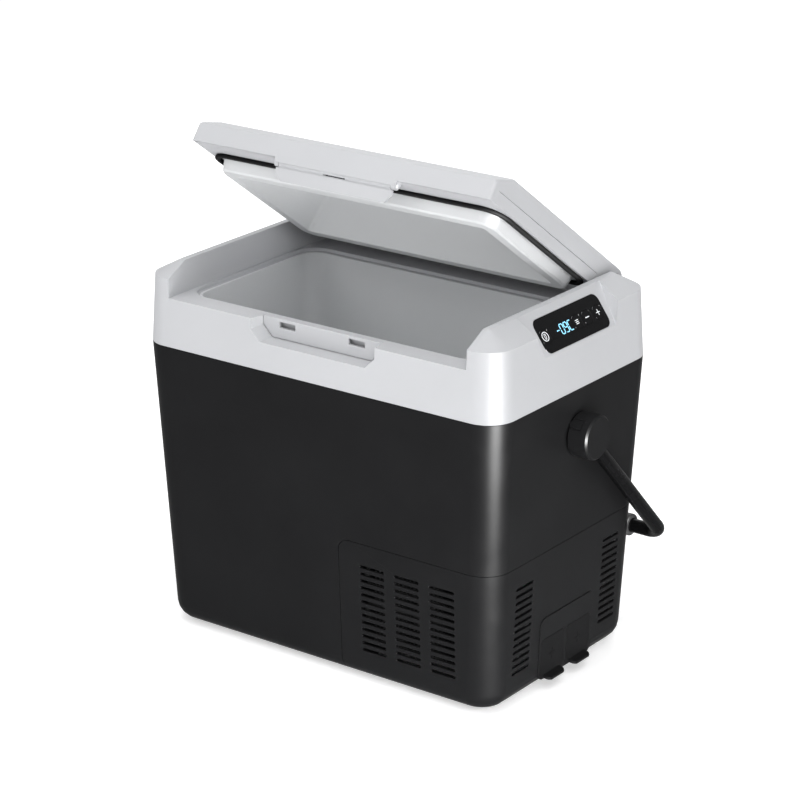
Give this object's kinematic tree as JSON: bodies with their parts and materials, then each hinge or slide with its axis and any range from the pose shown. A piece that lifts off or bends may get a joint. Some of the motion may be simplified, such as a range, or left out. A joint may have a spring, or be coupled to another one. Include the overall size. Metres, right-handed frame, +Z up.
{
  "type": "compressor cooler fridge",
  "caption": "Portable compressor cooler with an insulated tub, a tilting lid that seals and latches, a swinging carry bail, a control panel and a vented compressor bay",
  "frame": {"origin": "on the floor under the middle of the casing, in the plane of the feet", "axes": "X to the control-panel side, Y to the rear where the lid hinges, Z up; the lid stands open at rest"},
  "size_m": [0.513, 0.3331, 0.5663],
  "materials": {
    "dark_shell": "fine-grained moulded plastic, charcoal",
    "grey_frame": "fine-grained moulded plastic, light cool grey",
    "pale_liner": "smooth moulded plastic, pale grey",
    "foam": "rigid foam, cut face",
    "bail_tube": "smooth glossy charcoal",
    "grip": "soft-touch, fine texture",
    "seal": "soft black rubber",
    "display_glass": "high-gloss black",
    "finned_black": "black coated metal",
    "figures": "glowing cyan-white",
    "black_plastic": "satin black",
    "black_paint": "satin black paint",
    "steel": "plain zinc-plated steel",
    "alloy": "bare rolled aluminium",
    "copper": "bright copper tube",
    "circuit": "green circuit board with dark parts"
  },
  "bodies": {
    "cabinet": {"outer_shell": "dark_shell", "top_frame": "grey_frame", "inner_liner": "pale_liner", "foam_insulation": "foam", "evaporator": "alloy", "compressor_cover": "dark_shell", "base_tray": "steel", "feet": "seal", "compressor": "black_paint", "compressor_grommets": "seal", "compressor_bolts": "steel", "condenser_fins": "finned_black", "condenser_tube": "finned_black", "fan_shroud": "black_plastic", "fan_motor": "black_plastic", "filter_drier": "copper", "suction_line": "seal", "control_board": "circuit", "mains_supply": "alloy", "socket_panel": "dark_shell", "mains_socket": "black_plastic", "battery_socket": "black_plastic", "display_panel": "display_glass", "display_digits": "figures", "display_board": "circuit", "handle_boss_right": "dark_shell", "handle_boss_left": "dark_shell", "latch_striker": "grey_frame", "hinge_pins": "steel", "cover_screws": "steel", "temperature_probe": "steel"},
    "lid": {"lid_shell": "grey_frame", "lid_rim": "grey_frame", "lid_liner": "pale_liner", "lid_foam": "foam", "lid_gasket": "seal", "hinge_bushes": "black_plastic", "latch_pin": "steel", "latch_spring": "steel"},
    "latch": {"latch_flap": "grey_frame"},
    "handle": {"hub_right": "dark_shell", "hub_left": "dark_shell", "hub_clip_right": "dark_shell", "hub_clip_left": "dark_shell", "handle_bail": "bail_tube", "handle_grip": "grip"},
    "mains_cover": {"mains_flap": "seal"},
    "battery_cover": {"battery_flap": "seal"},
    "fan": {"fan_rotor": "black_plastic"},
    "power_key": {"power_button": "display_glass"},
    "set_key": {"set_button": "display_glass"},
    "minus_key": {"minus_button": "display_glass"},
    "plus_key": {"plus_button": "display_glass"}
  },
  "joints": [
    {"name": "lid_hinge", "type": "hinge", "parent": "cabinet", "child": "lid", "pos_m": [0, 0.131, 0.4033], "axis": [-1, 0, 0], "range_deg": [-35.6, 54.3]},
    {"name": "latch_pivot", "type": "hinge", "parent": "lid", "child": "latch", "pos_m": [0, -0.10331, 0.54334], "axis": [-1, 0, 0], "range_deg": [-18, 50], "stiffness_Nm_per_rad": 0.02},
    {"name": "handle_pivot", "type": "hinge", "parent": "cabinet", "child": "handle", "pos_m": [0, 0.0045, 0.28], "axis": [1, 0, 0], "range_deg": [-4, 93]},
    {"name": "mains_cover_hinge", "type": "hinge", "parent": "cabinet", "child": "mains_cover", "pos_m": [0.22176, -0.02125, 0.05821], "axis": [0, -1, 0], "range_deg": [0, 120]},
    {"name": "battery_cover_hinge", "type": "hinge", "parent": "cabinet", "child": "battery_cover", "pos_m": [0.22176, 0.02775, 0.05821], "axis": [0, -1, 0], "range_deg": [0, 120]},
    {"name": "fan_spin", "type": "hinge", "parent": "cabinet", "child": "fan", "pos_m": [0.108, -0.082, 0.084], "axis": [0, 1, 0], "continuous": true},
    {"name": "power_press", "type": "slide", "parent": "cabinet", "child": "power_key", "axis": [-0.8131, 0, -0.5821], "range_m": [0, 0.0004], "stiffness_N_per_m": 400},
    {"name": "set_press", "type": "slide", "parent": "cabinet", "child": "set_key", "axis": [-0.8131, 0, -0.5821], "range_m": [0, 0.0004], "stiffness_N_per_m": 400},
    {"name": "minus_press", "type": "slide", "parent": "cabinet", "child": "minus_key", "axis": [-0.8131, 0, -0.5821], "range_m": [0, 0.0004], "stiffness_N_per_m": 400},
    {"name": "plus_press", "type": "slide", "parent": "cabinet", "child": "plus_key", "axis": [-0.8131, 0, -0.5821], "range_m": [0, 0.0004], "stiffness_N_per_m": 400}
  ]
}
